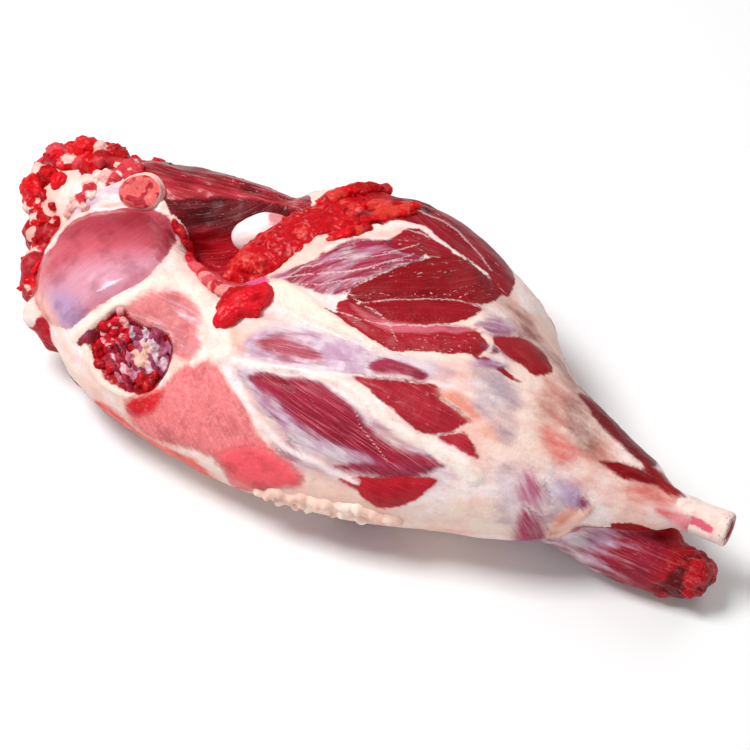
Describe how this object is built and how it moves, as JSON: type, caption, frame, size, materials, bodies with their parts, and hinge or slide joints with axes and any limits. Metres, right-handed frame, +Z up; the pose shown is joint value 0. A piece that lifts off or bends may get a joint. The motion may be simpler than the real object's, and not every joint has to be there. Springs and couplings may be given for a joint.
{
  "type": "raw leg of lamb",
  "caption": "Raw whole leg of lamb lying on its outer side, inner muscles and fat seams up, sawn shank bone at the narrow end.",
  "frame": {"origin": "middle of the leg's outline, on the board it lies on", "axes": "+X along the leg from the wide end to the sawn shank bone, +Y across it to the topside's far edge, +Z up"},
  "size_m": [0.4444, 0.1956, 0.0939],
  "materials": {
    "leg_flesh": "moist crimson muscle under cream fat and thin mauve silverskin",
    "shank_bone": "damp cream bone with a pink streak",
    "shank_marrow": "dull pink marrow",
    "hip_bone": "sawn pink bone with a cream rim",
    "aitch_bone": "sawn, bright red and granular",
    "gristle_cap": "smooth wet white cartilage"
  },
  "bodies": {
    "root": {"leg_flesh": "leg_flesh", "shank_bone": "shank_bone", "shank_marrow": "shank_marrow", "hip_bone": "hip_bone", "aitch_bone": "aitch_bone", "gristle_cap": "gristle_cap"}
  },
  "joints": []
}
